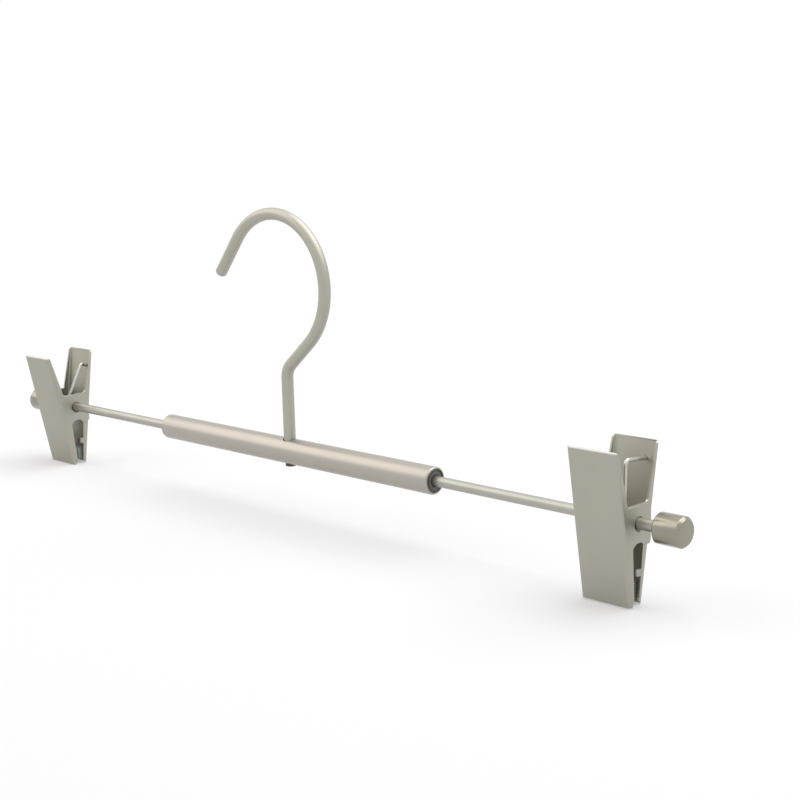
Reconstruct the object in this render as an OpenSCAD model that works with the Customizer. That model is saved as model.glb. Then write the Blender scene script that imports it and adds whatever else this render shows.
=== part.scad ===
// Trouser hanger: a tube with a rod and a stop knob at each end, a turning
// hook, and two sprung clips that slide and swing on the rods.
// Millimetres, +X along the bar, -Y to the front, +Z up. The origin is the
// point inside the top of the hook that rests on a rail. The shapes are drawn
// round the middle of the bar, and from_rail() moves them to the origin.

/* [Tube] */
// Outside diameter of the tube
tube_d = 10; // [9:0.5:14]
// Length of the tube
tube_len = 151; // [100:1:180]
// Wall of the tube
tube_wall = 0.7; // [0.7:0.1:1.1]
// Rounding of the tube's outer ends
tube_end_r = 0.6; // [0.3:0.1:0.7]

/* [Rods and knobs] */
// Diameter of the rods
rod_d = 3.8; // [3:0.1:4.4]
// Bare length of each rod, from the tube to its knob
rod_bare = 92.2; // [60:0.1:120]
// Depth that each rod is pushed into its bush
rod_seat = 18; // [10:1:19]
// Diameter of the knobs
knob_d = 10; // [8:0.5:14]
// Length of the knobs
knob_len = 9.6; // [8:0.1:16]
// Depth of the blind hole that holds the rod in the knob
knob_seat = 6.5; // [4:0.1:7.5]
// Bevel round the knob's outer end
knob_bevel = 0.9; // [0.4:0.1:1.5]
// Bevel round the knob's inner end
knob_back_bevel = 0.4; // [0.2:0.1:1]

/* [Bushes] */
// Length of each bush inside the tube
bush_len = 20; // [20:1:28]
// Diameter of the raised boss at the bush's mouth
boss_d = 6.4; // [6:0.1:7]
// Depth of the sunk ring round the boss
bush_recess = 0.5; // [0.3:0.1:1.5]
// Width of the open groove between boss and rod
mouth_gap = 0.25; // [0.1:0.05:0.4]
// Depth of that groove
mouth_depth = 1.2; // [0.5:0.1:3]

/* [Hook] */
// Diameter of the hook's wire
wire_d = 4.6; // [3.5:0.1:5]
// Radius of the loop, to the middle of the wire
loop_r = 27.1; // [20:0.1:34]
// Height of the straight stem above the bar's axis
stem_h = 28.6; // [22:0.1:45]
// Radius of the bend above the stem, to the middle of the wire
bend_r = 7.2; // [5:0.1:12]
// Turn of that bend, in degrees
bend_turn = 48.9; // [35:0.1:55]
// Straight run between the bend and the loop
run_len = 14.2; // [8:0.1:20]
// Angle of the loop's far end, in degrees from +X
loop_end = 141.4; // [120:0.1:165]
// Straight tail after the loop
tail_len = 17; // [4:0.5:20]
// Rounding of the hook's tip
hook_tip_r = 1.2; // [0.6:0.1:1.8]
// Diameter of the spigot under the stem
spigot_d = 3; // [2.4:0.1:3]
// Gap round the stem in the tube's upper hole
stem_gap = 0.35; // [0.2:0.05:0.5]
// Diameter of the ring that holds the hook under the tube
retainer_d = 4.1; // [4:0.1:5]
// Height of that ring
retainer_h = 0.8; // [0.6:0.1:1.5]

/* [Clips] */
// Gap between the right clip and its knob
right_clip_gap = 7.5; // [0.5:0.1:60]
// Gap between the left clip and its knob
left_clip_gap = 2.7; // [0.5:0.1:60]
// Swing of the right clip on its rod, in degrees
right_swing = -0.7; // [-3:0.1:3]
// Swing of the left clip on its rod, in degrees
left_swing = 1.8; // [-3:0.1:3]
// Width of the front jaw
front_w = 19; // [15:0.1:24]
// Thickness of the sheet
sheet = 0.7; // [0.5:0.05:0.9]
// Outside radius of the folds
fold_r = 1.5; // [1:0.1:1.8]
// Height of the handles' tips above the rod
tip_z = 24.1; // [22:0.1:30]
// Distance of the handles' tips from the rod's plane
tip_y = 12.4; // [11.6:0.1:13]
// Depth of the jaws' feet below the rod
foot_z = 26.8; // [25.5:0.1:32]
// Distance of the jaws' feet from the rod's plane
foot_y = 3.8; // [3.4:0.1:4.2]
// Diameter of the rod's holes in the ears
ear_hole_d = 5; // [4.8:0.1:5.4]
// Gap between the nested ears of the two jaws
ear_gap = 0.1; // [0.08:0.01:0.3]

/* [Grip pads] */
// Inset of the pads' ends from the rear jaw's flanges
pad_inset = 1.4; // [0.3:0.1:2.5]
// Height of the pads
pad_h = 5.4; // [4:0.1:6]
// Gap between the closed pads
pad_gap = 0.2; // [0.1:0.05:0.4]

/* [Springs] */
// Diameter of the spring wire
spring_wire = 1.25; // [1:0.05:1.3]
// Radius of the coil, to the middle of the wire
coil_r = 3.3; // [3.2:0.1:3.5]
// Gap between the coil's ends and the rear jaw's ears
coil_gap = 1.1; // [0.3:0.1:1.5]
// Whole curls of the coil, apart from the part curl between its legs
curls = 6; // [3:1:6]
// Backward lean of the right spring's legs, in degrees
right_lean = 1; // [0:1:12]
// Backward lean of the left spring's legs, in degrees
left_lean = 31; // [24:1:33]
// Height of the bend in the right spring's legs above the rod
right_leg_z = 20; // [17:0.1:20.5]
// Height of the bend in the left spring's legs above the rod
left_leg_z = 18.7; // [16:0.1:19]
// Fall of the right spring's upper runs towards the plates, in degrees
right_fall = 8; // [0:1:20]
// Fall of the left spring's upper runs towards the plates, in degrees
left_fall = 45; // [30:1:50]
// Drift of the right spring's upper runs towards the middle of the clip
right_drift = 1.4; // [0:0.1:2]
// Drift of the left spring's upper runs towards the middle of the clip
left_drift = 0.7; // [0.5:0.1:2]
// Radius of the bends in the right spring's legs
right_leg_r = 1.6; // [1:0.1:2]
// Radius of the bends in the left spring's legs
left_leg_r = 0.9; // [0.8:0.1:1.1]

/* [Hidden] */

// Finish colours
nickel = [0.66, 0.65, 0.60];
pale_nickel = [0.80, 0.76, 0.71];
bright_nickel = [0.74, 0.72, 0.64];
dark_plastic = [0.36, 0.36, 0.34];
dark_steel = [0.25, 0.24, 0.20];
grip_rubber = [0.46, 0.53, 0.51];

// Overrun of every cut
over = 1;
// Clearance of a pushed fit
push_fit = 0.01;
// Clearance of a turning fit
turn_fit = 0.1;
round_fn = 64;

// Tube
tube_bore = tube_d - 2 * tube_wall;

// Rods and knobs
rod_out = tube_len / 2 + rod_bare;

// Hook: the loop's middle, worked out along the wire from the stem
bend_end = [bend_r * (1 - cos(bend_turn)), stem_h + bend_r * sin(bend_turn)];
run_end = bend_end + run_len * [sin(bend_turn), cos(bend_turn)];
loop_mid = run_end - loop_r * [cos(bend_turn), -sin(bend_turn)];
rest_z = loop_mid[1] + loop_r - wire_d / 2;
shoulder_z = turn_fit - sqrt(pow(tube_bore / 2, 2) - pow(wire_d / 2, 2));
spigot_end = tube_d / 2 + retainer_h;
// Sides of the hook's wire, and rings along its bend, its loop and its rounded tip
hook_sides = 20;
bend_rings = 10;
loop_rings = 40;
tip_rings = 5;

// Clips: a jaw's outline is drawn with its own plate towards +u
rear_w = front_w - 2 * (sheet + ear_gap);
right_clip_x = rod_out - right_clip_gap - front_w / 2;
left_clip_x = left_clip_gap + front_w / 2 - rod_out;
plate_lean = atan((tip_y - foot_y) / (tip_z + foot_z));
blade_len = norm([tip_y - foot_y, tip_z + foot_z]);
wall_u = sheet / cos(plate_lean);
// The rod lies high in the ears' holes, and to the front
hole_drop = 0.4;
hole_back = 0.3;
// Width of the flanges at the handles' tips, and the rounding of their corners there
tip_flange = 1.2;
handle_r = 1.2;
// Gap between the handles: height of its floor above the rod, and half its width there
gap_z = 5.5;
gap_half = 5.84;
// Reach of the ears past the rod, on the front jaw and on the rear one
ear_reach = 6.6;
rear_ear_reach = 5.4;
// Slot between the flanges under the ears: its arch and its sides. The rear jaw's side
// starts further out than the front one's.
arch_z = 6.4;
arch_own = 1;
arch_far = 1.6;
slot_z = 7.7;
slot_own = 2.95;
rear_slot_own = 3.7;
slot_far = 3;
slot_foot = 1.9;
slot_foot_z = 25;
// Rounding of the outline's inner corners, and of its outer ones
inner_r = 1.2;
outer_r = 0.5;
// Tongue that stands out of the rear flanges' edges and folds inwards: its straight end,
// height, depth below the rod, outside radius, root in the flange, and inset from its faces
tongue_len = 0.8;
tongue_h = 2.3;
tongue_z = 15.5;
tongue_r = 1.5;
tongue_root = 0.8;
tongue_inset = 0.05;
tongue_steps = 8;
// Pads: width, lowest edge above the jaws' feet, and the plane where they meet
pad_w = rear_w - 2 * (sheet + pad_inset);
pad_up = 1.4;
pad_meet = 0.4;

// Spring: length to the middle of the wire, rings of each curl, sides of the wire, and the
// holes for its ends
coil_len = rear_w - 2 * (sheet + coil_gap) - spring_wire;
rings = 8;
spring_sides = 6;
bend_steps = 4;
leg_hole_d = 1.9;
// Straight end of each leg, square to its plate, as a multiple of the wire
square_share = 1.4;
square_len = square_share * spring_wire;
// Gap between the front leg's end and the plate it bears on
leg_gap = 0.1;
// Legs: lean, height of the bend, fall of the upper run, drift to the middle, radius of the bend
right_legs = [right_lean, right_leg_z, right_fall, right_drift, right_leg_r];
left_legs = [left_lean, left_leg_z, left_fall, left_drift, left_leg_r];

function unit(v) = v / norm(v);
function across(a, b, share) = a + (b - a) * share;

// Distance of a jaw's outer face from the rod's plane, at a height
function face_u(z) = across(foot_y, tip_y, (z + foot_z) / (tip_z + foot_z));

// Edge of the rear flanges beside the slot, at a depth below the rod
function slot_u(z) = across(rear_slot_own, slot_foot, (z - slot_z) / (slot_foot_z - slot_z));

// A corner rounded to a radius between its neighbours, in a plane or in space
function corner(a, p, b, r, steps = 6) =
    r == 0 ? [p] :
    let (
        u = unit(a - p),
        v = unit(b - p),
        half = acos(u * v) / 2,
        mid = p + unit(u + v) * r / sin(half),
        from = p + u * r / tan(half) - mid,
        to = p + v * r / tan(half) - mid,
        turn = 180 - 2 * half
    )
    [for (i = [0:steps]) mid + (from * sin(turn * (1 - i / steps)) + to * sin(turn * i / steps)) / sin(turn)];

// An outline from corners given as [u, z, radius]
function rounded(list) = [
    for (i = [0:len(list) - 1])
        let (
            a = list[(i + len(list) - 1) % len(list)],
            p = list[i],
            b = list[(i + 1) % len(list)]
        )
        each corner([a[0], a[1]], [p[0], p[1]], [b[0], b[1]], p[2])
];

module from_rail() {
    translate([-loop_mid[0], 0, -rest_z]) children();
}

// Turns a shape drawn along +Z so that it runs along +X
module along_x() {
    rotate([0, 90, 0]) children();
}

// Puts a shape made for the right end at the right (1) or the left (-1)
module at_end(side) {
    if (side > 0) children();
    else mirror([1, 0, 0]) children();
}

// Half section of a round bar with rounded ends
module bar_section(r, length, end_r) {
    square([r - end_r, length]);
    translate([0, end_r]) square([r, length - 2 * end_r]);
    for (y = [end_r, length - end_r]) translate([r - end_r, y]) circle(end_r, $fn = round_fn);
}

module tube() {
    color(pale_nickel) from_rail() difference() {
        translate([-tube_len / 2, 0, 0]) along_x() rotate_extrude($fn = round_fn)
            bar_section(tube_d / 2, tube_len, tube_end_r);
        translate([-tube_len / 2 - over, 0, 0]) along_x()
            cylinder(d = tube_bore, h = tube_len + 2 * over, $fn = round_fn);
        cylinder(d = wire_d + 2 * stem_gap, h = tube_d, $fn = round_fn);
        translate([0, 0, -tube_d]) cylinder(d = spigot_d + 2 * turn_fit, h = tube_d, $fn = round_fn);
    }
}

module bush(side) {
    color(dark_plastic) from_rail() at_end(side) translate([tube_len / 2 - bush_len, 0, 0]) along_x()
        difference() {
            union() {
                cylinder(d = tube_bore - 2 * push_fit, h = bush_len - bush_recess, $fn = round_fn);
                cylinder(d = boss_d, h = bush_len, $fn = round_fn);
            }
            translate([0, 0, -over])
                cylinder(d = rod_d + 2 * push_fit, h = bush_len + 2 * over, $fn = round_fn);
            translate([0, 0, bush_len - mouth_depth])
                cylinder(d = rod_d + 2 * mouth_gap, h = mouth_depth + over, $fn = round_fn);
        }
}

module rod(side) {
    color(nickel) from_rail() at_end(side) translate([tube_len / 2 - rod_seat, 0, 0]) along_x()
        cylinder(d = rod_d, h = rod_seat + rod_bare + knob_seat, $fn = round_fn);
}

module knob(side) {
    color(bright_nickel) from_rail() at_end(side) translate([rod_out, 0, 0]) along_x() difference() {
        union() {
            cylinder(d1 = knob_d - 2 * knob_back_bevel, d2 = knob_d, h = knob_back_bevel, $fn = round_fn);
            translate([0, 0, knob_back_bevel])
                cylinder(d = knob_d, h = knob_len - knob_back_bevel - knob_bevel, $fn = round_fn);
            translate([0, 0, knob_len - knob_bevel])
                cylinder(d1 = knob_d, d2 = knob_d - 2 * knob_bevel, h = knob_bevel, $fn = round_fn);
        }
        translate([0, 0, -over])
            cylinder(d = rod_d + 2 * push_fit, h = knob_seat + push_fit + over, $fn = round_fn);
    }
}

// A round wire swept along points, with its ends closed. Its rings have their first corner
// on the side that start points to.
module wire(path, radii, sides, start) {
    last = len(path) - 1;
    points = [
        for (i = [0:last])
            let (
                t = unit(path[min(i + 1, last)] - path[max(i - 1, 0)]),
                u = unit(start - (start * t) * t),
                v = cross(t, u)
            )
            for (j = [0:sides - 1])
                path[i] + radii[i] * (cos(360 * j / sides) * u + sin(360 * j / sides) * v)
    ];
    skin = [
        for (i = [0:last - 1], j = [0:sides - 1])
            let (k = (j + 1) % sides, a = i * sides, b = a + sides)
            each [[a + j, b + k, a + k], [a + j, b + j, b + k]]
    ];
    caps = [
        for (j = [1:sides - 2])
            each [[0, j, j + 1], [last * sides, last * sides + j + 1, last * sides + j]]
    ];
    polyhedron(points = points, faces = concat(skin, caps));
}

// Points along a bend of the hook's wire, about a point of the hook's plane
function bend_points(mid, r, from, to, steps) = [
    for (i = [0:steps])
        let (angle = across(from, to, i / steps))
        [mid[0] + r * cos(angle), 0, mid[1] + r * sin(angle)]
];

// The wire from its shoulder inside the tube, over the bend and the loop, to the rounded tip
module hook() {
    r = wire_d / 2;
    tail_way = [-sin(loop_end), 0, cos(loop_end)];
    run = concat(
        [[0, 0, shoulder_z]],
        bend_points([bend_r, stem_h], bend_r, 180, 180 - bend_turn, bend_rings),
        bend_points(loop_mid, loop_r, -bend_turn, loop_end, loop_rings)
    );
    tip = run[len(run) - 1] + tail_len * tail_way;
    turns = [for (i = [0:tip_rings]) 90 * i / tip_rings];
    path = concat(run, [for (angle = turns) tip + hook_tip_r * sin(angle) * tail_way]);
    radii = concat([for (p = run) r], [for (angle = turns) r - hook_tip_r * (1 - cos(angle))]);
    color(nickel) from_rail() union() {
        wire(path, radii, hook_sides, [0, 1, 0]);
        translate([0, 0, -spigot_end]) cylinder(d = spigot_d, h = spigot_end, $fn = round_fn / 2);
    }
}

module hook_retainer() {
    color(dark_steel) from_rail() translate([0, 0, -tube_d / 2 - retainer_h]) difference() {
        cylinder(d = retainer_d, h = retainer_h, $fn = round_fn);
        translate([0, 0, -over])
            cylinder(d = spigot_d + 2 * push_fit, h = retainer_h + 2 * over, $fn = round_fn);
    }
}

// Turns an outline of [y, z] into a plate of a width across the clip
module across_clip(width) {
    translate([-width / 2, 0, 0]) rotate([90, 0, 90]) linear_extrude(height = width) children();
}

// Section of the folded sheet: its back on y = 0, its flanges towards -y
module channel_section(width, r, depth) {
    translate([-width / 2, -depth]) square([width, depth - r]);
    translate([r - width / 2, -r]) square([width - 2 * r, r]);
    for (x = [r - width / 2, width / 2 - r]) translate([x, -r]) circle(r, $fn = round_fn / 2);
}

// The folded sheet, its back face on the line from foot to tip
module channel(width) {
    depth = tip_y + ear_reach + over;
    translate([0, foot_y, -foot_z]) rotate([-plate_lean, 0, 0]) translate([0, 0, -over])
        linear_extrude(height = blade_len + 2 * over) difference() {
            channel_section(width, fold_r, depth);
            translate([0, -sheet]) channel_section(width - 2 * sheet, fold_r - sheet, depth);
        }
}

// Outline of the handle, ear and flange of a jaw, its plate towards +y
module jaw_outline(reach, slot_top, ear) {
    polygon(rounded(concat(
        [
            [foot_y - over, -foot_z, 0],
            [foot_y + over, -foot_z, 0],
            [tip_y + over, tip_z, 0],
            [tip_y - tip_flange, tip_z, handle_r],
            [gap_half, gap_z, inner_r],
            [-reach, gap_z, inner_r]
        ],
        ear,
        [
            [arch_own, -arch_z, 0],
            [slot_top, -slot_z, inner_r],
            [slot_foot, -slot_foot_z, outer_r]
        ]
    )));
}

module ear_holes() {
    translate([0, hole_back, -hole_drop]) translate([-front_w, 0, 0]) along_x()
        cylinder(d = ear_hole_d, h = 2 * front_w, $fn = round_fn);
}

module front_jaw() {
    difference() {
        mirror([0, 1, 0]) intersection() {
            channel(front_w);
            across_clip(front_w + over) jaw_outline(ear_reach, slot_own, [
                [-ear_reach, -slot_z, inner_r],
                [-slot_far, -slot_z, 0],
                [-arch_far, -arch_z, 0]
            ]);
        }
        ear_holes();
    }
}

// Points of an arc about the origin
function arc_points(r, from, to) = [
    for (i = [0:tongue_steps])
        let (angle = across(from, to, i / tongue_steps))
        r * [cos(angle), sin(angle)]
];

// Section of the tongue on the flange towards +x
module tongue_section() {
    inside = tongue_r - sheet + 2 * tongue_inset;
    polygon(concat(
        [[inside, tongue_root], [tongue_r, tongue_root]],
        arc_points(tongue_r, 0, -90),
        [[-tongue_len, -tongue_r], [-tongue_len, -inside]],
        arc_points(inside, -90, 0)
    ));
}

// Tongues on the rear flanges' edges, over the pads
module tongues() {
    low = tongue_z + tongue_h;
    for (side = [0, 1]) mirror([side, 0, 0])
        translate([rear_w / 2 - tongue_inset - tongue_r, slot_u(low), -low])
            linear_extrude(height = tongue_h) tongue_section();
}

// The leg's hole in the rear plate, square to the plate
module leg_hole(legs) {
    translate(leg_foot(legs)) rotate([-90 - plate_lean, 0, 0])
        cylinder(d = leg_hole_d, h = square_len + sheet + over, $fn = round_fn / 2);
}

module rear_jaw(legs) {
    difference() {
        intersection() {
            channel(rear_w);
            across_clip(rear_w + over) jaw_outline(rear_ear_reach, rear_slot_own, [
                [-rear_ear_reach, inner_r - arch_z, inner_r],
                [-slot_far, -arch_z, 0]
            ]);
        }
        ear_holes();
        leg_hole(legs);
    }
    tongues();
}

// A pad, its back against the inside of the plate towards +y
module pad(face_y) {
    low = -foot_z + pad_up;
    high = low + pad_h;
    across_clip(pad_w) polygon([
        [face_y, low],
        [face_u(low) - wall_u, low],
        [face_u(high) - wall_u, high],
        [face_y, high]
    ]);
}

// The closed pads leave a narrow gap about the plane where they meet
module front_pad() {
    mirror([0, 1, 0]) pad(pad_gap / 2 - pad_meet);
}

module rear_pad() {
    pad(pad_meet + pad_gap / 2);
}

// Points of a spring's rear leg: where it leaves the coil, its bend, the start of its
// square end, and its tip, a given length past the inside of the plate
function leg_start(legs) = [coil_len / 2, -coil_r * cos(legs[0]), coil_r * sin(legs[0])];
function leg_top(legs) =
    let (start = leg_start(legs))
    start + [0, sin(legs[0]), cos(legs[0])] * (legs[1] - start[2]) / cos(legs[0]);
function leg_foot(legs) =
    let (
        top = leg_top(legs),
        clear = (face_u(top[2]) - wall_u - top[1]) * cos(plate_lean) - square_len,
        run = clear / cos(legs[2] - plate_lean)
    )
    top + [-legs[3], run * cos(legs[2]), -run * sin(legs[2])];
function leg_tip(legs, past) =
    leg_foot(legs) + [0, cos(plate_lean), -sin(plate_lean)] * (square_len + past);

// A leg from its tip down to the coil, and one leg turned half a turn into the other
function leg_path(legs, past) =
    let (start = leg_start(legs), top = leg_top(legs), foot = leg_foot(legs), tip = leg_tip(legs, past))
    concat([tip], corner(tip, foot, top, legs[4], bend_steps), corner(foot, top, start, legs[4], bend_steps));
function opposite(points) = [for (p = points) [-p[0], -p[1], p[2]]];
function reversed(list) = [for (i = [len(list) - 1:-1:0]) list[i]];

// The coil, from the rear leg round under the rod to the front leg
function coil_turn(legs) = 360 * curls + 180 + 2 * legs[0];
function coil_path(legs) =
    let (steps = ceil(rings * coil_turn(legs) / 360))
    [for (i = [0:steps])
        let (angle = 180 - legs[0] + coil_turn(legs) * i / steps)
        [coil_len * (0.5 - i / steps), coil_r * cos(angle), coil_r * sin(angle)]];

// Least gap of the wire to itself, measured coil to coil and leg to coil
function least_gap(legs) =
    let (
        coil = coil_path(legs),
        leg = [for (share = [0:0.05:1]) across(leg_start(legs), leg_top(legs), share)],
        last = len(coil) - 1,
        skip = rings / 2 + 1,
        coil_gap = min([for (i = [0:last - skip], j = [i + skip:last]) norm(coil[i] - coil[j])]),
        leg_clear = min([for (p = leg, j = [skip:last]) norm(p - coil[j])])
    )
    min(coil_gap, leg_clear) - spring_wire;

module spring(legs) {
    path = concat(
        leg_path(legs, sheet),
        coil_path(legs),
        reversed(opposite(leg_path(legs, -leg_gap)))
    );
    echo(str("Least gap of the spring to itself: ", least_gap(legs), " mm"));
    wire(path, [for (p = path) spring_wire / 2], spring_sides, [1, 0, 0]);
}

// Puts a piece drawn round the rod's axis on the right clip or on the left one
module on_right(finish) {
    color(finish) from_rail() translate([right_clip_x, 0, 0]) rotate([right_swing, 0, 0]) children();
}

module on_left(finish) {
    color(finish) from_rail() translate([left_clip_x, 0, 0]) rotate([left_swing, 0, 0]) children();
}

hook();
hook_retainer();
tube();
bush(-1);  // left_bush
bush(1);  // right_bush
rod(-1);  // left_rod
rod(1);  // right_rod
knob(-1);  // left_knob
knob(1);  // right_knob
on_left(nickel) front_jaw();  // left_front_jaw
on_left(nickel) rear_jaw(left_legs);  // left_rear_jaw
on_left(grip_rubber) front_pad();  // left_front_pad
on_left(grip_rubber) rear_pad();  // left_rear_pad
on_left(bright_nickel) spring(left_legs);  // left_spring
on_right(nickel) front_jaw();  // right_front_jaw
on_right(nickel) rear_jaw(right_legs);  // right_rear_jaw
on_right(grip_rubber) front_pad();  // right_front_pad
on_right(grip_rubber) rear_pad();  // right_rear_pad
on_right(bright_nickel) spring(right_legs);  // right_spring
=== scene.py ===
from math import acos, atan2, ceil, cos, pi, radians, sin, tan
import bmesh
import bpy
from mathutils import Matrix, Vector


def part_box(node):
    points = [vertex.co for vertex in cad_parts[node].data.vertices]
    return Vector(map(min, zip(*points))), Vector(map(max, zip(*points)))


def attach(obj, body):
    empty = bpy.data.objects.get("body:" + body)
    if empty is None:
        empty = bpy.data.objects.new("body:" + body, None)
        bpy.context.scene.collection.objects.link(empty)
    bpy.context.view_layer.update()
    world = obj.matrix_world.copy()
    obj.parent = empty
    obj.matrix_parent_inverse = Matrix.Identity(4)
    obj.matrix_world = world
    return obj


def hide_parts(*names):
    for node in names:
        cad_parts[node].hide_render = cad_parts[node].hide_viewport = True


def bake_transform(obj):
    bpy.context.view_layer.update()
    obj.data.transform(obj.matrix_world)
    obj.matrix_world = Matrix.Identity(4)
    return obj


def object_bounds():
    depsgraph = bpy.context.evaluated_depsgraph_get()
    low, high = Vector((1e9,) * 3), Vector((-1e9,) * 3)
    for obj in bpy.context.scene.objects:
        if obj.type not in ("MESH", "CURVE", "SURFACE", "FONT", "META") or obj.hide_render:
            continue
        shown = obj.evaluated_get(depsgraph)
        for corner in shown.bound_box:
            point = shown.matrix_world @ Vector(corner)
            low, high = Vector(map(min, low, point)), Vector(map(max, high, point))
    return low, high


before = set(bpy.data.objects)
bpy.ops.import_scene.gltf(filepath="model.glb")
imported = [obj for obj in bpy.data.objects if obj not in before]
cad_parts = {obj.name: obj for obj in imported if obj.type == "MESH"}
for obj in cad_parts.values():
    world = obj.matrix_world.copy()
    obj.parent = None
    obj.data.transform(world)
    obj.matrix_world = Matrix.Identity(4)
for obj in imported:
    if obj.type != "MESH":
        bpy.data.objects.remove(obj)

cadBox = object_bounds()
mm = 0.001
white = (1, 1, 1)
sides = {"left": -1, "right": 1}
clipSwing = {"left": radians(1.8), "right": radians(-0.7)}


# Places that the frame gives: the bar's axis, the stem, and the middle of each clip

def middleX(node):
    low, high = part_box(node)
    return (low.x + high.x) / 2


barAxis = sum(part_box("tube"), Vector()) / 2
stemFoot = Vector((middleX("hook_retainer"), 0, barAxis.z))


def clipMiddle(side):
    return Vector((middleX(f"{side}_front_jaw"), 0, barAxis.z))


def clipFrame(side):                       # from a clip drawn round the rod's axis to its place
    return Matrix.Translation(clipMiddle(side)) @ Matrix.Rotation(clipSwing[side], 4, "X")


# Nodes, and shader maths written as Python

def addNode(tree, kind, settings=None, values=None):
    made = tree.nodes.new(kind)
    for key, setting in (settings or {}).items():
        setattr(made, key, setting)
    for key, value in (values or {}).items():
        if isinstance(value, bpy.types.NodeSocket):
            tree.links.new(value, made.inputs[key])
        else:
            made.inputs[key].default_value = value
    return made


class Value:                               # a node's socket that Python's operators work on
    def __init__(self, finish, socket):
        self.finish, self.socket = finish, socket

    def maths(self, operation, first, second):
        return self.finish.node("ShaderNodeMath", {"operation": operation}, {0: first, 1: second})

    def __add__(self, other): return self.maths("ADD", self, other)
    def __radd__(self, other): return self.maths("ADD", other, self)
    def __sub__(self, other): return self.maths("SUBTRACT", self, other)
    def __rsub__(self, other): return self.maths("SUBTRACT", other, self)
    def __mul__(self, other): return self.maths("MULTIPLY", self, other)
    def __rmul__(self, other): return self.maths("MULTIPLY", other, self)


class Finish:                              # a material, or the world, and its nodes
    def __init__(self, name, owner=None):
        self.data = owner or bpy.data.materials.new(name)
        self.data.use_nodes = True
        self.tree = self.data.node_tree
        self.tree.nodes.clear()

    def node(self, kind, settings=None, values=None, out=0):
        given = {key: value.socket if isinstance(value, Value) else value
                 for key, value in (values or {}).items()}
        return Value(self, addNode(self.tree, kind, settings, given).outputs[out])

    def coords(self, scale=(1, 1, 1)):
        place = self.node("ShaderNodeTexCoord", out="Object")
        return self.node("ShaderNodeMapping", None, {"Vector": place, "Scale": scale})

    def noise(self, scale, where, detail):
        return self.node("ShaderNodeTexNoise", {"noise_dimensions": "3D"},
                         {"Vector": where, "Scale": scale, "Detail": detail})

    def blend(self, share, first, second):     # two colours, mixed by a value
        return self.node("ShaderNodeMix", {"data_type": "RGBA"},
                         {0: share, 6: tint(first), 7: tint(second)}, out=2)

    def bump(self, height, depth):
        return self.node("ShaderNodeBump", None, {"Height": height, "Distance": depth})

    def seenBy(self, kinds):                   # 1 for any of these kinds of ray, and 0 for others
        rays = [self.node("ShaderNodeLightPath", out=f"Is {kind} Ray") for kind in kinds]
        seen = rays[0]
        for ray in rays[1:]:
            seen = seen.maths("MAXIMUM", seen, ray)
        return seen

    def finishWith(self, shader, target="ShaderNodeOutputMaterial"):
        addNode(self.tree, target, None, {"Surface": shader.socket})
        return self.data


def tint(colour):
    return (*colour, 1)


def dulled(s):
    return tuple(c * s["dullShare"] for c in s["colour"])


# A plated metal: cloudy tone, fine grain, and lines along the way that it was polished

def platedMetal(name, s):
    f = Finish(name)
    cloud = f.noise(s["cloudScale"], f.coords(), 3)
    grain = f.noise(s["grainScale"], f.coords(), 2)
    lines = f.noise(s["lineScale"], f.coords(s["lineWay"]), 2)
    shine = s["roughness"] + (cloud - 0.5) * s["roughVary"] + (grain - 0.5) * s["roughVary"]
    height = grain * s["grainShare"] + lines * (1 - s["grainShare"])
    return f.finishWith(f.node("ShaderNodeBsdfPrincipled", None, {
        "Base Color": f.blend(cloud, s["colour"], dulled(s)), "Metallic": 1.0, "Roughness": shine,
        "Normal": f.bump(height, s["grainDepth"])}))


satinNickel = platedMetal("satinNickel", {
    "colour": (0.43, 0.415, 0.355), "dullShare": 0.95, "cloudScale": 90, "grainScale": 3600,
    "lineScale": 2600, "lineWay": (1, 1, 0.05), "grainShare": 0.75, "grainDepth": 0.0000008,
    "roughness": 0.50, "roughVary": 0.06,
})
# A lighter copy of the plated metal for the cut edges and the handle's rim: a painted highlight where
# those edges catch the light
paintedHighlightEdge = platedMetal("paintedHighlightEdge", {
    "colour": (0.62, 0.61, 0.55), "dullShare": 0.94, "cloudScale": 200, "grainScale": 3600,
    "lineScale": 5200, "lineWay": (1, 1, 1), "grainShare": 0.5, "grainDepth": 0.0000008,
    "roughness": 0.45, "roughVary": 0.08,
})
satinWire = platedMetal("satinWire", {
    "colour": (0.44, 0.425, 0.365), "dullShare": 0.96, "cloudScale": 80, "grainScale": 3600,
    "lineScale": 2600, "lineWay": (0.05, 1, 1), "grainShare": 0.7, "grainDepth": 0.0000002,
    "roughness": 0.48, "roughVary": 0.04,
})
rodNickel = platedMetal("rodNickel", {
    "colour": (0.425, 0.415, 0.37), "dullShare": 0.94, "cloudScale": 120, "grainScale": 3600,
    "lineScale": 4200, "lineWay": (0.02, 1, 1), "grainShare": 0.3, "grainDepth": 0.0000010,
    "roughness": 0.41, "roughVary": 0.10,
})
paleNickel = platedMetal("paleNickel", {
    "colour": (0.43, 0.407, 0.358), "dullShare": 0.96, "cloudScale": 60, "grainScale": 3600,
    "lineScale": 3200, "lineWay": (0.03, 1, 1), "grainShare": 0.5, "grainDepth": 0.0000012,
    "roughness": 0.40, "roughVary": 0.06,
})
brightNickel = platedMetal("brightNickel", {
    "colour": (0.33, 0.31, 0.25), "dullShare": 0.88, "cloudScale": 150, "grainScale": 3600,
    "lineScale": 2600, "lineWay": (1, 0.1, 0.1), "grainShare": 0.6, "grainDepth": 0.0000008,
    "roughness": 0.22, "roughVary": 0.08,
})
springNickel = platedMetal("springNickel", {
    "colour": (0.58, 0.57, 0.51), "dullShare": 0.94, "cloudScale": 260, "grainScale": 3600,
    "lineScale": 2600, "lineWay": (1, 1, 0.2), "grainShare": 0.6, "grainDepth": 0.0000008,
    "roughness": 0.36, "roughVary": 0.08,
})
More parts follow.
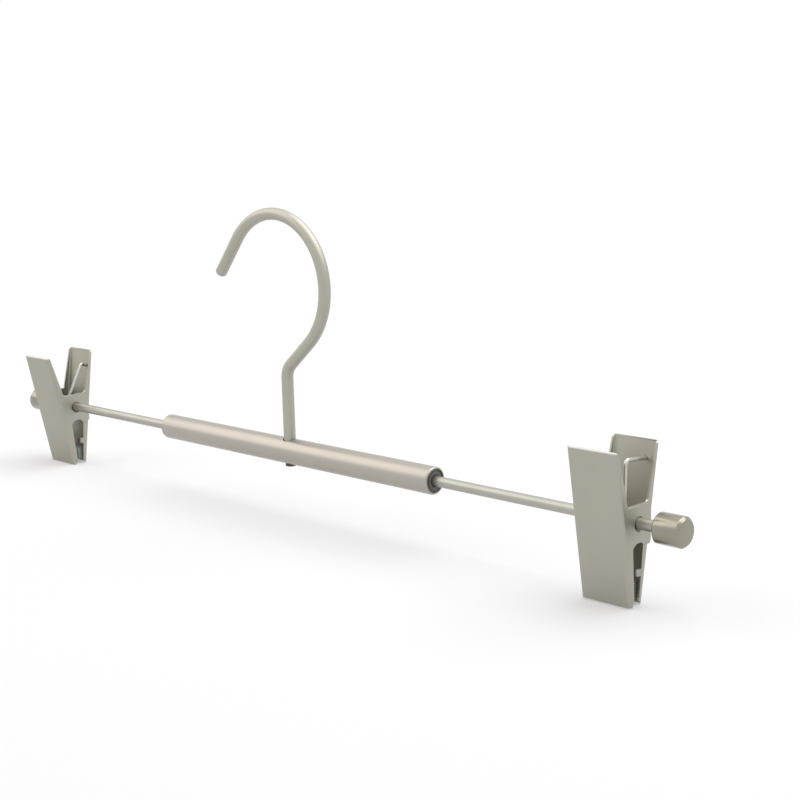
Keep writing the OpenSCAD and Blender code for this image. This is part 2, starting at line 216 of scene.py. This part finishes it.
darkSteel = platedMetal("darkSteel", {
    "colour": (0.10, 0.09, 0.075), "dullShare": 0.7, "cloudScale": 600, "grainScale": 3600,
    "lineScale": 2600, "lineWay": (1, 1, 0.1), "grainShare": 0.6, "grainDepth": 0.000002,
    "roughness": 0.38, "roughVary": 0.15,
})


def moulded(name, s):                      # a moulded plastic or rubber
    f = Finish(name)
    grain = f.noise(s["grainScale"], f.coords(), 3)
    cloud = f.noise(s["cloudScale"], f.coords(), 2)
    return f.finishWith(f.node("ShaderNodeBsdfPrincipled", None, {
        "Base Color": f.blend(cloud, s["colour"], dulled(s)),
        "Roughness": s["roughness"] + (grain - 0.5) * s["roughVary"],
        "Normal": f.bump(grain, s["grainDepth"])}))


darkPlastic = moulded("darkPlastic", {
    "colour": (0.115, 0.112, 0.10), "dullShare": 0.7, "cloudScale": 300, "grainScale": 4000,
    "roughness": 0.42, "roughVary": 0.15, "grainDepth": 0.000008,
})
gripRubber = moulded("gripRubber", {
    "colour": (0.40, 0.46, 0.43), "dullShare": 0.8, "cloudScale": 250, "grainScale": 3500,
    "roughness": 0.66, "roughVary": 0.15, "grainDepth": 0.000015,
})
print("materials made")


# Meshes

meshSizes = {"sharpAngle": 32, "wireSharpAngle": 40, "wireWeld": 0.001}


def meshOf(name, shape):                   # the bmesh becomes a mesh and is let go
    mesh = bpy.data.meshes.new(name)
    shape.to_mesh(mesh)
    shape.free()
    return mesh


def placed(name, data):
    made = bpy.data.objects.new(name, data)
    bpy.context.scene.collection.objects.link(made)
    return made


def smoothed(mesh, sharpAngle):            # smooth, apart from edges sharper than an angle
    mesh.polygons.foreach_set("use_smooth", [True] * len(mesh.polygons))
    mesh.set_sharp_from_angle(angle=radians(sharpAngle))


def asPiece(name, mesh, finish):
    mesh.materials.append(finish)
    smoothed(mesh, meshSizes["sharpAngle"])
    return placed(name, mesh)


def settle(piece):                         # applies the piece's modifiers
    bpy.context.view_layer.update()
    graph = bpy.context.evaluated_depsgraph_get()
    old = piece.data
    piece.data = bpy.data.meshes.new_from_object(piece.evaluated_get(graph))
    piece.modifiers.clear()
    piece.data.name = old.name


def roundCorner(before, at, after, radius, steps):   # an arc's points, flat or in space
    u, v = (before - at).normalized(), (after - at).normalized()
    half = acos(u.dot(v)) / 2
    mid = at + (u + v).normalized() * radius / sin(half)
    start, end = at + u * radius / tan(half) - mid, at + v * radius / tan(half) - mid
    turn = pi - 2 * half
    return [mid + (start * sin(turn * (1 - k / steps)) + end * sin(turn * k / steps)) / sin(turn)
            for k in range(steps + 1)]


def rounded(outline, radii, steps):        # a closed outline with its corners rounded
    corners = [Vector(corner) for corner in outline]
    points = []
    for i, at in enumerate(corners):
        before, after = corners[i - 1], corners[(i + 1) % len(corners)]
        points += roundCorner(before, at, after, radii[i], steps) if radii[i] else [at]
    return points


def turned(name, profile, axis, way, finish, rings):
    # A closed profile of (distance along, radius) in millimetres turned round a line along X or Z
    along, across = Vector(way), Vector((0, 1, 0))
    up = along.cross(across)
    shape = bmesh.new()
    loops = []
    for reach, radius in profile:
        mid = axis + along * reach * mm
        if radius == 0:
            loops.append([shape.verts.new(mid)])
        else:
            loops.append([shape.verts.new(mid + (across * cos(a) + up * sin(a)) * radius * mm)
                          for a in (2 * pi * k / rings for k in range(rings))])
    for i in range(len(loops)):
        one, two = loops[i - 1], loops[i]
        if len(one) == 1 and len(two) == 1:
            continue
        for k in range(rings):
            j = (k + 1) % rings
            corners = [one[k % len(one)], one[j % len(one)], two[j % len(two)], two[k % len(two)]]
            shape.faces.new(dict.fromkeys(corners))
    bmesh.ops.recalc_face_normals(shape, faces=shape.faces)
    return asPiece(name, meshOf(name, shape), finish)


def cutAway(piece, cutters):
    for cutter in cutters:
        cut = piece.modifiers.new("cut", "BOOLEAN")
        cut.operation, cut.solver, cut.object = "DIFFERENCE", "EXACT", cutter
    settle(piece)
    for cutter in cutters:
        bpy.data.objects.remove(cutter)
    smoothed(piece.data, meshSizes["sharpAngle"])


# Wires: a path of points with a share of the wire's thickness at each, swept by nodes

def wireNodes():
    tree = bpy.data.node_groups.new("wireSweep", "GeometryNodeTree")
    face = tree.interface
    for label, kind in (("Path", "NodeSocketGeometry"), ("Wire Diameter", "NodeSocketFloat"),
                        ("Sides", "NodeSocketInt"), ("Finish", "NodeSocketMaterial")):
        face.new_socket(label, in_out="INPUT", socket_type=kind)
    face.new_socket("Geometry", in_out="OUTPUT", socket_type="NodeSocketGeometry")

    def add(kind, settings=None, values=None):     # the new node's first output
        return addNode(tree, kind, settings, values).outputs[0]

    given = addNode(tree, "NodeGroupInput").outputs
    half = add("ShaderNodeMath", {"operation": "MULTIPLY"}, {0: given["Wire Diameter"], 1: 0.5})
    ring = add("GeometryNodeCurvePrimitiveCircle", None, {"Resolution": given["Sides"], "Radius": half})
    path = add("GeometryNodeMeshToCurve", None, {"Mesh": given["Path"]})
    share = add("GeometryNodeInputNamedAttribute", {"data_type": "FLOAT"}, {"Name": "share"})
    swept = add("GeometryNodeCurveToMesh", None, {
        "Curve": path, "Profile Curve": ring, "Scale": share, "Fill Caps": True})
    joined = add("GeometryNodeMergeByDistance", None, {
        "Geometry": swept, "Distance": meshSizes["wireWeld"] * mm})
    real = add("GeometryNodeRealizeInstances", None, {"Geometry": joined})
    painted = add("GeometryNodeSetMaterial", None, {"Geometry": real, "Material": given["Finish"]})
    addNode(tree, "NodeGroupOutput", None, {"Geometry": painted})
    return tree


wireTree = wireNodes()


def wire(name, path, thickness, ring, finish):
    # path: (point in metres, share of the thickness) in order
    mesh = bpy.data.meshes.new(name)
    mesh.from_pydata([tuple(point) for point, share in path],
                     [(i, i + 1) for i in range(len(path) - 1)], [])
    shares = mesh.attributes.new("share", "FLOAT", "POINT")
    shares.data.foreach_set("value", [share for point, share in path])
    piece = placed(name, mesh)
    sweep = piece.modifiers.new("sweep", "NODES")
    sweep.node_group = wireTree
    given = {"Wire Diameter": thickness * mm, "Sides": ring, "Finish": finish}
    for item in wireTree.interface.items_tree:
        if item.in_out == "INPUT" and item.name in given:
            sweep[item.identifier] = given[item.name]
    settle(piece)
    bpy.data.meshes.remove(mesh)
    shape = bmesh.new()
    shape.from_mesh(piece.data)
    bmesh.ops.recalc_face_normals(shape, faces=shape.faces)
    shape.to_mesh(piece.data)
    shape.free()
    smoothed(piece.data, meshSizes["wireSharpAngle"])
    return piece


# Hook: from the spigot's end under the tube, up the stem, over the bend and the loop to the tip

hookSizes = {
    "wire": 4.6, "spigot": 3, "spigotEnd": 5.8, "spigotBevel": 0.2, "spigotTipShare": 0.86,
    "shoulder": -3.53, "shoulderStep": 0.01, "shoulderBevel": 0.15,
    "stem": 28.6, "bendRadius": 7.2, "bendTurn": 48.9, "run": 14.2,
    "loopRadius": 27.1, "loopEnd": 141.4, "tail": 17, "tipRound": 1.2,
    "sides": 40, "stemRings": 6, "bendRings": 16, "runRings": 4, "loopRings": 96,
    "tailRings": 5, "tipRings": 8,
}


def hookPath(s):
    r = s["wire"] / 2
    turn, end = radians(s["bendTurn"]), radians(s["loopEnd"])
    slim = s["spigot"] / s["wire"]
    path = [((0, -s["spigotEnd"]), slim * s["spigotTipShare"]),
            ((0, -s["spigotEnd"] + s["spigotBevel"]), slim),
            ((0, s["shoulder"] - s["shoulderStep"]), slim),
            ((0, s["shoulder"]), 1 - s["shoulderBevel"] / r),
            ((0, s["shoulder"] + s["shoulderBevel"]), 1)]
    path += [((0, s["stem"] * k / s["stemRings"]), 1) for k in range(1, s["stemRings"])]
    for k in range(s["bendRings"] + 1):
        a = turn * k / s["bendRings"]
        path.append(((s["bendRadius"] * (1 - cos(a)), s["stem"] + s["bendRadius"] * sin(a)), 1))
    bendEnd = Vector(path[-1][0])
    loopStart = bendEnd + Vector((sin(turn), cos(turn))) * s["run"]
    mid = loopStart - Vector((cos(turn), -sin(turn))) * s["loopRadius"]
    path += [(bendEnd.lerp(loopStart, k / s["runRings"]), 1) for k in range(1, s["runRings"])]
    for k in range(s["loopRings"] + 1):
        a = -turn + (end + turn) * k / s["loopRings"]
        path.append((mid + Vector((cos(a), sin(a))) * s["loopRadius"], 1))
    way = Vector((-sin(end), cos(end)))
    last = path[-1][0]
    path += [(last + way * s["tail"] * k / s["tailRings"], 1) for k in range(1, s["tailRings"])]
    tip = last + way * s["tail"]
    for k in range(s["tipRings"] + 1):     # the tip's rounding
        a = pi / 2 * k / s["tipRings"]
        path.append((tip + way * s["tipRound"] * sin(a), 1 - s["tipRound"] / r * (1 - cos(a))))
    return [(stemFoot + Vector((x, 0, z)) * mm, share) for (x, z), share in path]


hookPiece = wire("hookWire", hookPath(hookSizes), hookSizes["wire"], hookSizes["sides"], satinWire)
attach(hookPiece, "hook")
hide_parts("hook")

retainerSizes = {"across": 4.1, "top": 5.03, "foot": 5.8, "bore": 3.02, "bevel": 0.15,
                 "boreBevel": 0.075, "roundSteps": 3, "rings": 64}


def retainerProfile(s):
    inner, outer = s["bore"] / 2, s["across"] / 2
    box = [(s["top"], inner), (s["top"], outer), (s["foot"], outer), (s["foot"], inner)]
    return rounded(box, [s["boreBevel"], s["bevel"], s["bevel"], s["boreBevel"]], s["roundSteps"])


retainer = turned("hookRetainer", retainerProfile(retainerSizes), stemFoot, (0, 0, -1),
                  darkSteel, retainerSizes["rings"])
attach(retainer, "hook")
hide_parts("hook_retainer")
print("hook made")

# Tube, with its holes for the stem and the spigot

tubeSizes = {"length": 151, "across": 10, "wall": 0.7, "endRadius": 0.6, "boreBevel": 0.08,
             "roundSteps": 6, "rings": 128, "stemHole": 5.3, "spigotHole": 3.2, "holeRings": 64}


def makeTube(s):
    half, outer = s["length"] / 2, s["across"] / 2
    inner = outer - s["wall"]
    radii = [s["boreBevel"], s["endRadius"], s["endRadius"], s["boreBevel"]]
    profile = rounded([(-half, inner), (-half, outer), (half, outer), (half, inner)], radii,
                      s["roundSteps"])
    tube = turned("tubeShell", profile, barAxis, (1, 0, 0), paleNickel, s["rings"])
    cutAway(tube, [
        turned("cutter", [(0, 0), (0, width / 2), (s["across"], width / 2), (s["across"], 0)],
               stemFoot, (0, 0, way), paleNickel, s["holeRings"])
        for width, way in ((s["stemHole"], 1), (s["spigotHole"], -1))])
    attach(tube, "bar")
    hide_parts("tube")


makeTube(tubeSizes)

# Bushes, rods and knobs, from the middle of the bar outwards

endSizes = {
    "bush": 20, "bushAcross": 8.58, "boss": 6.4, "recess": 0.5, "mouth": 0.25, "mouthDepth": 1.2,
    "bushRounds": [0, 0.12, 0.12, 0.12, 0.25, 0.12, 0, 0], "pushFit": 0.01,
    "rodAcross": 3.8, "rodSeat": 18, "rodBare": 92.2, "rodBevel": 0.12,
    "knobAcross": 10, "knob": 9.6, "knobSeat": 6.5, "knobBevel": 0.9, "backBevel": 0.4,
    "knobRounds": [0.1, 0.2, 0.2, 0.35, 0.3, 0, 0, 0],
    "roundSteps": 4, "bushRings": 96, "rodRings": 64, "knobRings": 128,
}


def makeEnd(side, s):
    way = (sides[side], 0, 0)
    tubeEnd = tubeSizes["length"] / 2
    rodEnd = tubeEnd + s["rodBare"]
    rod = s["rodAcross"] / 2
    bore = rod + s["pushFit"]

    low, ledge, mouth = tubeEnd - s["bush"], tubeEnd - s["recess"], tubeEnd - s["mouthDepth"]
    outline = [(low, bore), (low, s["bushAcross"] / 2), (ledge, s["bushAcross"] / 2),
               (ledge, s["boss"] / 2), (tubeEnd, s["boss"] / 2),
               (tubeEnd, bore + s["mouth"]), (mouth, bore + s["mouth"]), (mouth, bore)]
    bush = turned(f"{side}Bush", rounded(outline, s["bushRounds"], s["roundSteps"]),
                  barAxis, way, darkPlastic, s["bushRings"])

    start, stop, e = tubeEnd - s["rodSeat"], rodEnd + s["knobSeat"], s["rodBevel"]
    profile = [(start, 0), (start, rod - e), (start + e, rod),
               (stop - e, rod), (stop, rod - e), (stop, 0)]
    rodPiece = turned(f"{side}Rod", profile, barAxis, way, rodNickel, s["rodRings"])

    outer, end = s["knobAcross"] / 2, rodEnd + s["knob"]
    outline = [(rodEnd, bore), (rodEnd, outer - s["backBevel"]), (rodEnd + s["backBevel"], outer),
               (end - s["knobBevel"], outer), (end, outer - s["knobBevel"]),
               (end, 0), (stop, 0), (stop, bore)]
    knob = turned(f"{side}Knob", rounded(outline, s["knobRounds"], s["roundSteps"]),
                  barAxis, way, brightNickel, s["knobRings"])

    for piece, node, slot in ((bush, "bush", "dark_plastic"), (rodPiece, "rod", "satin_nickel"),
                              (knob, "knob", "bright_nickel")):
        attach(piece, "bar")
        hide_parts(f"{side}_{node}")


for side in sides:
    makeEnd(side, endSizes)
print("bar made")

# Sheet: the slanted plate of every jaw, in the clip's own frame

sheetSizes = {"thick": 0.7, "footDepth": 26.8, "footOut": 3.8, "tipHeight": 24.1, "tipOut": 12.4}
plateRise = sheetSizes["tipHeight"] + sheetSizes["footDepth"]
plateLean = atan2(sheetSizes["tipOut"] - sheetSizes["footOut"], plateRise)


def plateInner(z):                         # how far the plate's inner face stands out at a height
    slope = (sheetSizes["tipOut"] - sheetSizes["footOut"]) / plateRise
    outer = sheetSizes["footOut"] + slope * (z + sheetSizes["footDepth"])
    return outer - sheetSizes["thick"] / cos(plateLean)


# Jaws: the folded sheet of the frame with its cut edges broken, and the cut edges and the handle's rim
# given a lighter copy of the metal as a painted highlight

jawSizes = {
    "weld": 0.002, "flatAngle": 0.4,       # the frame's triangles joined into flat faces
    "edge": 0.14, "edgeSteps": 2, "edgeAngle": 50, "handleRim": 0.6, "rimSteps": 4,
    "flangeFacing": 0.05, "plateFacing": 0.98, "endFacing": 0.9, "outerFacing": 0.3,
}


def jaw(side, part, s):
    node = f"{side}_{part}_jaw"
    shape = bmesh.new()
    shape.from_mesh(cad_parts[node].data)
    bmesh.ops.remove_doubles(shape, verts=shape.verts, dist=s["weld"] * mm)
    bmesh.ops.dissolve_limit(shape, angle_limit=radians(s["flatAngle"]),
                             verts=shape.verts, edges=shape.edges)
    turnBack = clipFrame(side).to_3x3().inverted()
    out = -1 if part == "front" else 1
    plate = Vector((0, out * cos(plateLean), -sin(plateLean)))
    # Faces marked 1 get the lighter metal, a painted highlight on the sheared edges
    for face in shape.faces:               # the sheet's sheared edges are neither plate, fold nor flange
        normal = turnBack @ face.normal
        face.material_index = int(abs(normal.x) < s["flangeFacing"]
                                  and abs(normal.dot(plate)) < s["plateFacing"])
    rim = []
    for edge in shape.edges:               # the handle's end is rounded more on its outer side
        ways = [turnBack @ face.normal for face in edge.link_faces]
        if (max(way.z for way in ways) > s["endFacing"]
                and max(way.dot(plate) for way in ways) > s["outerFacing"]):
            rim.append(edge)
    # The rounded rim's new faces get the lighter metal too, a painted highlight along the handle's end
    bmesh.ops.bevel(shape, geom=rim, offset=s["handleRim"] * mm, offset_type="OFFSET",
                    segments=s["rimSteps"], profile=0.5, affect="EDGES", clamp_overlap=False,
                    material=1)
    piece = asPiece(f"{side}{part.capitalize()}Jaw", meshOf(node, shape), satinNickel)
    piece.data.materials.append(paintedHighlightEdge)
    bevel = piece.modifiers.new("brokenEdge", "BEVEL")
    bevel.limit_method, bevel.angle_limit = "ANGLE", radians(s["edgeAngle"])
    bevel.width, bevel.segments, bevel.harden_normals = s["edge"] * mm, s["edgeSteps"], True
    # The bevel's faces also get the lighter metal, a painted highlight along every broken edge
    bevel.use_clamp_overlap, bevel.material = True, 1
    settle(piece)
    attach(piece, node)
    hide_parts(node)


for side in sides:
    for part in ("front", "rear"):
        jaw(side, part, jawSizes)
print("jaws made")

# Grips: rubber strips with fine ribs on the face that holds the cloth

gripSizes = {
    "width": 13.2, "up": 1.4, "height": 5.4, "meet": 0.4, "gap": 0.2,
    "ribs": 6, "ribDepth": 0.28, "ribFoot": 0.62, "grooveTop": 0.70, "grooveFoot": 0.92,
    "round": 0.15, "roundSteps": 3,
    "ends": [(0, 0.93), (0.105, 0.975), (0.35, 1)],    # inset from the end, share of the outline
}


def gripOutline(s, front):
    low = s["up"] - sheetSizes["footDepth"]
    high = low + s["height"]
    face = s["gap"] / 2 + (-s["meet"] if front else s["meet"])
    groove = face + s["ribDepth"]
    outline, radii = [(plateInner(low), low), (plateInner(high), high)], [s["round"]] * 2
    pitch = s["height"] / s["ribs"]
    for k in range(s["ribs"]):             # from the top rib down, with a groove after each
        top = high - k * pitch
        outline += [(face, top), (face, top - pitch * s["ribFoot"]),
                    (groove, top - pitch * s["grooveTop"]), (groove, top - pitch * s["grooveFoot"])]
        radii += [s["round"], s["round"], 0, 0]
    outline[-3:] = [(face, low)]           # the last rib reaches the foot
    return rounded(outline, radii[:-2], s["roundSteps"])


def grip(side, part, s):
    front = part == "front"
    outline = gripOutline(s, front)
    place = clipFrame(side)
    shape = bmesh.new()
    half = s["width"] / 2
    middle = sum(outline, Vector((0, 0))) / len(outline)
    cuts = [(inset - half, share) for inset, share in s["ends"]]
    cuts += [(half - inset, share) for inset, share in reversed(s["ends"])]
    loops = []
    for x, share in cuts:
        ring = []
        for point in outline:
            u, z = middle + (point - middle) * share
            ring.append(shape.verts.new(place @ (Vector((x, -u if front else u, z)) * mm)))
        loops.append(ring)
    count = len(outline)
    for one, two in zip(loops, loops[1:]):
        for k in range(count):
            shape.faces.new((one[k], one[(k + 1) % count], two[(k + 1) % count], two[k]))
    shape.faces.new(loops[0])
    shape.faces.new(loops[-1])
    bmesh.ops.recalc_face_normals(shape, faces=shape.faces)
    name = f"{side}{part.capitalize()}Grip"
    piece = asPiece(name, meshOf(name, shape), gripRubber)
    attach(piece, f"{side}_{part}_jaw")
    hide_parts(f"{side}_{part}_pad")


for side in sides:
    for part in ("front", "rear"):
        grip(side, part, gripSizes)
print("grips made")

# Springs: a coil round the rod, with a leg up to each handle

springSizes = {
    "wire": 1.25, "coilRadius": 3.3, "coilLength": 12.55, "curls": 6, "ringsPerCurl": 24, "sides": 14,
    "squareEnd": 1.75, "frontGap": 0.1, "cut": 0.1, "cutShare": 0.8, "bendSteps": 8,
    # The rear leg's end, peened in the handle's hole: distance from its tip, share of the thickness
    "peened": [(0.03, 1.2), (0.12, 1.46), (0.42, 1.46), (0.5, 1.3), (0.56, 1.0)],
    "blendShare": 0.36,                    # of the coil's length, to each side of its middle
}
springLegs = {                             # lean, height of the bend, fall, drift, bend radius
    "right": {"lean": 1, "height": 20, "fall": 8, "drift": 1.4, "bend": 1.6},
    "left": {"lean": 31, "height": 18.7, "fall": 45, "drift": 0.7, "bend": 0.9},
}


def springPath(s, leg):
    lean, fall = radians(leg["lean"]), radians(leg["fall"])
    r, length = s["coilRadius"], s["coilLength"]
    start = Vector((length / 2, -r * cos(lean), r * sin(lean)))
    top = start + Vector((0, sin(lean), cos(lean))) * (leg["height"] - start.z) / cos(lean)
    run = ((plateInner(top.z) - top.y) * cos(plateLean) - s["squareEnd"]) / cos(fall - plateLean)
    foot = top + Vector((-leg["drift"], run * cos(fall), -run * sin(fall)))

    def legPoints(past):                   # from the tip, by so much past the plate, to the coil
        tip = foot + Vector((0, cos(plateLean), -sin(plateLean))) * (s["squareEnd"] + past)
        return [tip, *roundCorner(tip, foot, top, leg["bend"], s["bendSteps"]),
                *roundCorner(foot, top, start, leg["bend"], s["bendSteps"])]

    turn = 2 * pi * s["curls"] + pi + 2 * lean
    steps = ceil(s["ringsPerCurl"] * turn / (2 * pi))
    coil = []
    for k in range(steps + 1):
        a = pi - lean + turn * k / steps
        coil.append(Vector((length * (0.5 - k / steps), r * cos(a), r * sin(a))))
    rear = legPoints(sheetSizes["thick"])
    front = [Vector((-p.x, -p.y, p.z)) for p in reversed(legPoints(-s["frontGap"]))]
    points = rear + coil + front
    way = (points[1] - points[0]).normalized()
    head = [(points[0] + way * reach, share) for reach, share in s["peened"]]
    last = points[-1].lerp(points[-2], s["cut"] / (points[-2] - points[-1]).length)
    return head + [(point, 1) for point in points[1:-1]] + [(last, 1), (points[-1], s["cutShare"])]


def spring(side, s):
    place = clipFrame(side)
    path = [(place @ (point * mm), share) for point, share in springPath(s, springLegs[side])]
    piece = wire(f"{side}Spring", path, s["wire"], s["sides"], springNickel)
    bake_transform(piece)
    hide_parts(f"{side}_spring")


for side in sides:
    spring(side, springSizes)
print("springs made")

# Floor: pale, and white to the camera away from the hanger, with a soft shadow near it

floorSizes = {"drop": 0.2, "half": 4.0, "colour": (0.85, 0.85, 0.86),
              "keepShadow": 0.70, "fadeFrom": 0.24, "fadeTo": 0.55}


def floorFinish(s):
    f = Finish("paleFloor")
    away = f.node("ShaderNodeVectorMath", {"operation": "LENGTH"}, {0: f.coords()}, out="Value")
    fade = f.node("ShaderNodeMapRange", {"interpolation_type": "SMOOTHSTEP"},
                  {"Value": away, "From Min": s["fadeFrom"], "From Max": s["fadeTo"]})
    lifted = 1 - s["keepShadow"] * (1 - fade)
    seen = f.seenBy(("Camera", "Glossy"))
    plain = f.node("ShaderNodeBsdfDiffuse", None, {"Color": tint(s["colour"])})
    bright = f.node("ShaderNodeEmission", None, {"Color": tint(white), "Strength": 1.0})
    return f.finishWith(f.node("ShaderNodeMixShader", None, {0: lifted * seen, 1: plain, 2: bright}))


def makeFloor(s):
    h, z = s["half"], cadBox[0][2] - s["drop"] * mm
    mesh = bpy.data.meshes.new("floor")
    mesh.from_pydata([(-h, -h, z), (h, -h, z), (h, h, z), (-h, h, z)], [], [(0, 1, 2, 3)])
    mesh.materials.append(floorFinish(s))
    placed("floor", mesh)


makeFloor(floorSizes)

# Light: an even room, a warm lamp at the front left, and a broad lamp above

lightSizes = {
    "room": 0.50,                          # the camera and reflections see it white
    "lamps": {
        "key": {"place": (-0.95, -0.50, 0.86), "size": 1.5, "power": 6.2, "colour": (1.0, 0.93, 0.915)},
        "top": {"place": (0.35, 0.50, 1.30), "size": 2.0, "power": 20.0, "colour": white},
    },
    "aim": (0, 0, -0.08),
}


def makeLamp(name, s, aim):
    lamp = bpy.data.lights.new(name, "AREA")
    lamp.shape, lamp.size, lamp.energy, lamp.color = "DISK", s["size"], s["power"], s["colour"]
    place = Vector(s["place"])
    turn = (Vector(aim) - place).to_track_quat("-Z", "Y").to_matrix().to_4x4()
    placed(name, lamp).matrix_world = Matrix.Translation(place) @ turn


def makeRoom(s):
    world = bpy.data.worlds.new("room")
    bpy.context.scene.world = world
    air = Finish("room", world)
    seen = air.seenBy(("Camera", "Glossy", "Transmission"))
    lit, bright = (air.node("ShaderNodeBackground", None, {"Color": tint(white), "Strength": strength})
                   for strength in (s["room"], 1.0))
    air.finishWith(air.node("ShaderNodeMixShader", None, {0: seen, 1: lit, 2: bright}),
                   "ShaderNodeOutputWorld")


for name, lampSizes in lightSizes["lamps"].items():
    makeLamp(name, lampSizes, lightSizes["aim"])
makeRoom(lightSizes)
print("light made")

# Camera: worked out from the straight edges of both clips and the bar's ends, in pixels of 800

cameraSizes = {
    "focal": 1424.857, "axisX": 378.526, "axisY": 403.842, "picture": 800, "sensor": 36,
    "side": 44.7507, "up": 11.219, "roll": -1.6439,                # degrees
    "right": 34.02, "lift": 18.151, "away": 550.152,               # from the stem on the bar's axis
    "nearest": 0.01, "furthest": 50,
}


def makeCamera(s):
    a, e, roll = radians(s["side"]), radians(s["up"]), radians(s["roll"])
    out = Vector((sin(a) * cos(e), -cos(a) * cos(e), sin(e)))
    right = (-out).cross(Vector((0, 0, 1))).normalized()
    up = right.cross(-out)
    across = right * cos(roll) + up * sin(roll)
    above = up * cos(roll) - right * sin(roll)
    place = stemFoot + (out * s["away"] + across * s["right"] + above * s["lift"]) * mm
    turn = Matrix((across, above, out)).transposed().to_4x4()
    data = bpy.data.cameras.new("camera")
    data.sensor_width, data.lens = s["sensor"], s["focal"] * s["sensor"] / s["picture"]
    data.shift_x = (s["picture"] / 2 - s["axisX"]) / s["picture"]
    data.shift_y = (s["axisY"] - s["picture"] / 2) / s["picture"]
    data.clip_start, data.clip_end = s["nearest"], s["furthest"]
    camera = placed("camera", data)
    camera.matrix_world = Matrix.Translation(place) @ turn
    bpy.context.scene.camera = camera


makeCamera(cameraSizes)
bpy.context.scene.view_settings.view_transform = "Standard"
print("camera made")
